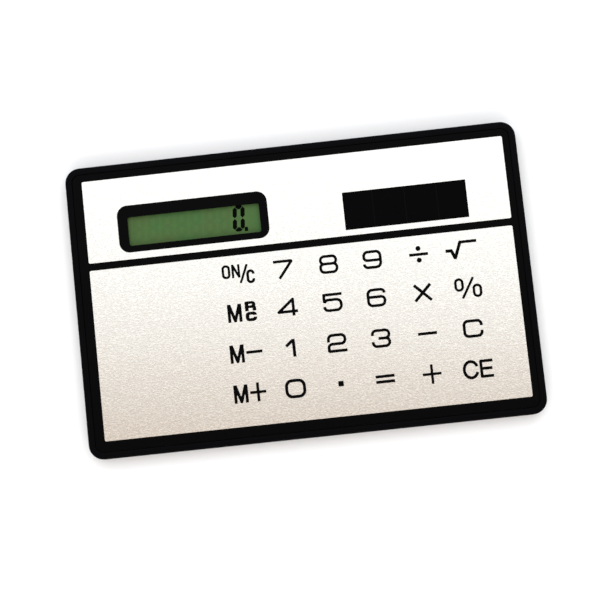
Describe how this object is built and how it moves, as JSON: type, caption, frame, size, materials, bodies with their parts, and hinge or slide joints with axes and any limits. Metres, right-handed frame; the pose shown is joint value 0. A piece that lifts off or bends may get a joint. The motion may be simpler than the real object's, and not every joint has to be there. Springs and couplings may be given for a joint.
{
  "type": "solar calculator",
  "caption": "Slim card-format solar calculator: black rimmed case, satin silver face film with pressable printed keys, recessed display and solar window.",
  "frame": {"origin": "middle of the back, on the surface that the calculator lies on", "axes": "+X along the long side to the right, +Y towards the display, +Z out of the face"},
  "size_m": [0.085, 0.055, 0.003],
  "materials": {
    "case_plastic": "black moulded ABS, satin",
    "cover_plastic": "black moulded ABS, fine spark texture",
    "tape": "double-sided adhesive tape",
    "face_film": "metallised plastic film, fine satin grain",
    "clear_film": "clear polyester film",
    "laminate": "glass-epoxy laminate with solder mask",
    "epoxy": "black epoxy drop",
    "ceramic": "fired ceramic chip",
    "diode_lens": "clear red epoxy",
    "resistor_body": "fired ceramic chip, black coat",
    "polarizer": "polarizing film over a green-grey display",
    "glass": "thin sheet glass",
    "reflector": "rear polarizer with silvered back",
    "ribbon": "heat-seal strip, polyester with carbon tracks",
    "solar_glass": "amorphous silicon on glass, nearly black",
    "red_wire": "insulated wire",
    "black_wire": "insulated wire"
  },
  "bodies": {
    "case": {"case_frame": "case_plastic", "back_cover": "cover_plastic", "back_tape": "tape", "face_sheet": "face_film", "face_adhesive": "tape", "contact_film": "clear_film", "key_spacer": "clear_film", "circuit_board": "laminate", "chip_encapsulant": "epoxy", "supply_capacitor": "ceramic", "clamp_diode": "diode_lens", "clock_resistor": "resistor_body", "lcd_front_polarizer": "polarizer", "lcd_front_glass": "glass", "lcd_rear_glass": "glass", "lcd_reflector": "reflector", "lcd_tape": "tape", "lcd_ribbon": "ribbon", "solar_cell": "solar_glass", "solar_lead_positive": "red_wire", "solar_lead_negative": "black_wire"},
    "key_on_c": {"key_on_c": "face_film"},
    "key_7": {"key_7": "face_film"},
    "key_8": {"key_8": "face_film"},
    "key_9": {"key_9": "face_film"},
    "key_divide": {"key_divide": "face_film"},
    "key_root": {"key_root": "face_film"},
    "key_memory_recall": {"key_memory_recall": "face_film"},
    "key_4": {"key_4": "face_film"},
    "key_5": {"key_5": "face_film"},
    "key_6": {"key_6": "face_film"},
    "key_multiply": {"key_multiply": "face_film"},
    "key_percent": {"key_percent": "face_film"},
    "key_memory_minus": {"key_memory_minus": "face_film"},
    "key_1": {"key_1": "face_film"},
    "key_2": {"key_2": "face_film"},
    "key_3": {"key_3": "face_film"},
    "key_minus": {"key_minus": "face_film"},
    "key_c": {"key_c": "face_film"},
    "key_memory_plus": {"key_memory_plus": "face_film"},
    "key_0": {"key_0": "face_film"},
    "key_point": {"key_point": "face_film"},
    "key_equals": {"key_equals": "face_film"},
    "key_plus": {"key_plus": "face_film"},
    "key_ce": {"key_ce": "face_film"}
  },
  "joints": [
    {"name": "press_on_c", "type": "slide", "parent": "case", "child": "key_on_c", "axis": [0, 0, 1], "range_m": [-0.00025, 0], "stiffness_N_per_m": 4000},
    {"name": "press_7", "type": "slide", "parent": "case", "child": "key_7", "axis": [0, 0, 1], "range_m": [-0.00025, 0], "stiffness_N_per_m": 4000},
    {"name": "press_8", "type": "slide", "parent": "case", "child": "key_8", "axis": [0, 0, 1], "range_m": [-0.00025, 0], "stiffness_N_per_m": 4000},
    {"name": "press_9", "type": "slide", "parent": "case", "child": "key_9", "axis": [0, 0, 1], "range_m": [-0.00025, 0], "stiffness_N_per_m": 4000},
    {"name": "press_divide", "type": "slide", "parent": "case", "child": "key_divide", "axis": [0, 0, 1], "range_m": [-0.00025, 0], "stiffness_N_per_m": 4000},
    {"name": "press_root", "type": "slide", "parent": "case", "child": "key_root", "axis": [0, 0, 1], "range_m": [-0.00025, 0], "stiffness_N_per_m": 4000},
    {"name": "press_memory_recall", "type": "slide", "parent": "case", "child": "key_memory_recall", "axis": [0, 0, 1], "range_m": [-0.00025, 0], "stiffness_N_per_m": 4000},
    {"name": "press_4", "type": "slide", "parent": "case", "child": "key_4", "axis": [0, 0, 1], "range_m": [-0.00025, 0], "stiffness_N_per_m": 4000},
    {"name": "press_5", "type": "slide", "parent": "case", "child": "key_5", "axis": [0, 0, 1], "range_m": [-0.00025, 0], "stiffness_N_per_m": 4000},
    {"name": "press_6", "type": "slide", "parent": "case", "child": "key_6", "axis": [0, 0, 1], "range_m": [-0.00025, 0], "stiffness_N_per_m": 4000},
    {"name": "press_multiply", "type": "slide", "parent": "case", "child": "key_multiply", "axis": [0, 0, 1], "range_m": [-0.00025, 0], "stiffness_N_per_m": 4000},
    {"name": "press_percent", "type": "slide", "parent": "case", "child": "key_percent", "axis": [0, 0, 1], "range_m": [-0.00025, 0], "stiffness_N_per_m": 4000},
    {"name": "press_memory_minus", "type": "slide", "parent": "case", "child": "key_memory_minus", "axis": [0, 0, 1], "range_m": [-0.00025, 0], "stiffness_N_per_m": 4000},
    {"name": "press_1", "type": "slide", "parent": "case", "child": "key_1", "axis": [0, 0, 1], "range_m": [-0.00025, 0], "stiffness_N_per_m": 4000},
    {"name": "press_2", "type": "slide", "parent": "case", "child": "key_2", "axis": [0, 0, 1], "range_m": [-0.00025, 0], "stiffness_N_per_m": 4000},
    {"name": "press_3", "type": "slide", "parent": "case", "child": "key_3", "axis": [0, 0, 1], "range_m": [-0.00025, 0], "stiffness_N_per_m": 4000},
    {"name": "press_minus", "type": "slide", "parent": "case", "child": "key_minus", "axis": [0, 0, 1], "range_m": [-0.00025, 0], "stiffness_N_per_m": 4000},
    {"name": "press_c", "type": "slide", "parent": "case", "child": "key_c", "axis": [0, 0, 1], "range_m": [-0.00025, 0], "stiffness_N_per_m": 4000},
    {"name": "press_memory_plus", "type": "slide", "parent": "case", "child": "key_memory_plus", "axis": [0, 0, 1], "range_m": [-0.00025, 0], "stiffness_N_per_m": 4000},
    {"name": "press_0", "type": "slide", "parent": "case", "child": "key_0", "axis": [0, 0, 1], "range_m": [-0.00025, 0], "stiffness_N_per_m": 4000},
    {"name": "press_point", "type": "slide", "parent": "case", "child": "key_point", "axis": [0, 0, 1], "range_m": [-0.00025, 0], "stiffness_N_per_m": 4000},
    {"name": "press_equals", "type": "slide", "parent": "case", "child": "key_equals", "axis": [0, 0, 1], "range_m": [-0.00025, 0], "stiffness_N_per_m": 4000},
    {"name": "press_plus", "type": "slide", "parent": "case", "child": "key_plus", "axis": [0, 0, 1], "range_m": [-0.00025, 0], "stiffness_N_per_m": 4000},
    {"name": "press_ce", "type": "slide", "parent": "case", "child": "key_ce", "axis": [0, 0, 1], "range_m": [-0.00025, 0], "stiffness_N_per_m": 4000}
  ]
}
